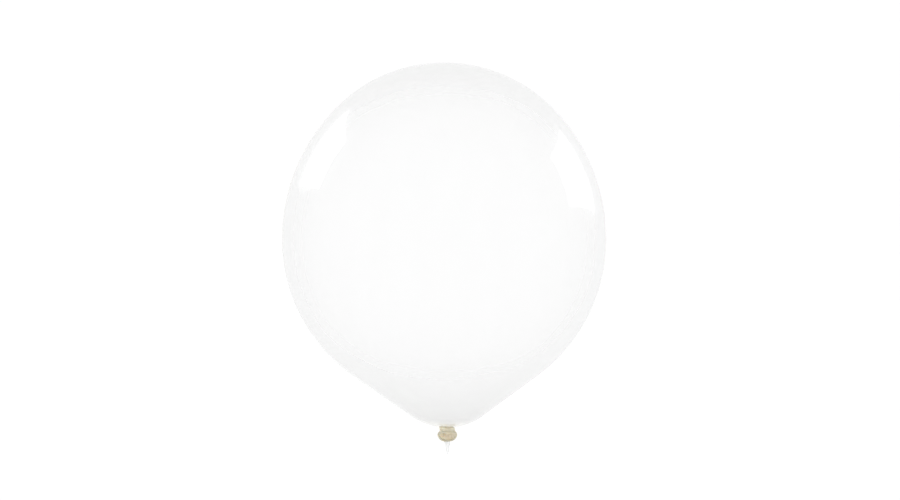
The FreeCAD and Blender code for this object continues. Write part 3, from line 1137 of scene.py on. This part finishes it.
@dataclass
class Softbox:
    """A rectangular lamp that shows only as a clean highlight on glossy film."""

    name: str
    direction: tuple[float, float, float]
    size: tuple[float, float]
    shift: tuple[float, float]
    roll: float
    radiance: float
    distance: float = 2.0

    def build(self, aim: Vector) -> None:
        """Hangs the lamp.

        Its face is at a distance along direction from aim and square to it. It is shifted in that plane and
        rolled about the direction. Its power is radiance * pi * area.

        Args:
            aim: the point it faces.
        """
        away = Vector(self.direction).normalized()
        right = away.cross(Vector((0, 0, 1))).normalized()
        above = right.cross(away)
        lamp = bpy.data.lights.new(self.name, "AREA")
        lamp.shape = "RECTANGLE"
        lamp.size, lamp.size_y = self.size
        lamp.energy = self.radiance * math.pi * self.size[0] * self.size[1]
        stand = bpy.data.objects.new(self.name, lamp)
        across = right * math.cos(self.roll) + above * math.sin(self.roll)
        upwards = above * math.cos(self.roll) - right * math.sin(self.roll)
        turn = Matrix((across, upwards, across.cross(upwards))).transposed()
        if turn.col[2].dot(away) < 0:
            turn = Matrix((-across, upwards, (-across).cross(upwards))).transposed()
        centre = aim + away * self.distance + right * self.shift[0] + above * self.shift[1]
        stand.matrix_world = Matrix.Translation(centre) @ turn.to_4x4()
        stand.visible_camera = False
        stand.visible_diffuse = False
        stand.visible_transmission = False
        bpy.context.scene.collection.objects.link(stand)


@dataclass
class Studio:
    """A white room: even light from all round, a pale paper floor, two window lamps and the camera."""

    room_light: float = 1.03
    floor_drop: float = 0.09
    floor_radius: float = 20.0
    flat_radius: float = 8.0
    rim_height: float = 6.0
    camera_place: tuple[float, float, float] = (0.00246, -4.16, 0.1603)
    lens: float = 180.0
    softboxes: tuple[Softbox, ...] = (
        Softbox("window_left", (-0.653, 0.641, 0.403), (1.08, 0.81), (-0.40, 0.15), math.radians(-15.0), 9.0),
        Softbox("window_right", (0.78, 0.53, 0.332), (1.22, 0.78), (0.16, 0.06), math.radians(12.0), 7.0),
    )

    def camera(self) -> None:
        """A long lens, level with the balloon's middle."""
        lens = bpy.data.cameras.new("camera")
        lens.lens = self.lens
        lens.sensor_width = 36.0
        lens.clip_start, lens.clip_end = 0.05, 100.0
        stand = bpy.data.objects.new("camera", lens)
        stand.location = self.camera_place
        stand.rotation_euler = (math.radians(90.0), 0.0, 0.0)
        bpy.context.scene.collection.objects.link(stand)
        bpy.context.scene.camera = stand

    def room(self) -> None:
        """Even white light from all round, shown without a film look."""
        world = bpy.data.worlds.new("white_room")
        world.use_nodes = True
        world.node_tree.nodes.clear()
        sky = world.node_tree.nodes.new("ShaderNodeBackground")
        sky.inputs["Color"].default_value = (1.0, 1.0, 1.0, 1.0)
        sky.inputs["Strength"].default_value = self.room_light
        out = world.node_tree.nodes.new("ShaderNodeOutputWorld")
        world.node_tree.links.new(sky.outputs[0], out.inputs["Surface"])
        bpy.context.scene.world = world
        bpy.context.scene.view_settings.view_transform = "Standard"

    def floor(self) -> None:
        """A round sheet of paper below the hanging balloon, flat for most of its width, its rim swept up.

        Its height is the rim's times s * s * (3 - 2 * s), where s goes from 0 to 1 over the outer part.
        """
        out = np.linspace(0.02, self.floor_radius, 60)[:, None]
        angle = all_round(96)[None, :]
        sweep = np.clip((out - self.flat_radius) / (self.floor_radius - self.flat_radius), 0.0, 1.0)
        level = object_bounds()[0].z - self.floor_drop
        up = level + self.rim_height * sweep**2 * (3.0 - 2.0 * sweep)
        points = revolved(out, up, angle)
        paper = Surface("floor", points, centre=(0.0, 0.0, level - 100.0), first_pole=True)
        paper.build(FloorFinish().material())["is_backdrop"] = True

    def build(self, aim: Vector) -> None:
        """Sets up the whole studio.

        Args:
            aim: the balloon's middle, which the lamps face.
        """
        self.room()
        self.floor()
        self.camera()
        for softbox in self.softboxes:
            softbox.build(aim)


def main() -> None:
    """Builds the balloon from the film down to the tip, then the studio round it."""
    logging.basicConfig(level=logging.INFO, format="%(message)s")
    film_low, film_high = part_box("envelope")
    gather_low, gather_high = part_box("neck_gather")
    wrap_low, wrap_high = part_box("knot_wrap")
    core_low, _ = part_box("knot_core")
    tip_low, tip_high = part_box("tail_tip")

    middle_x = (film_low.x + film_high.x) / 2.0
    InflatedFilm((film_high.x - film_low.x) / 2.0, middle_x, film_high.z).build()

    neck = GatheredNeck(gather_low.z, gather_high.z - 0.8 * MM)
    neck.gather()
    neck.waist()

    knot = OverhandKnot(wrap_low, wrap_high, core_low)
    knot.turn()
    knot.strand()

    mouth = Mouth()
    mouth.skirt()
    mouth.lip()
    mouth.tip(tip_low, tip_high)

    Studio().build(Vector((middle_x, 0.0, 0.17)))


if __name__ == "__main__":
    main()
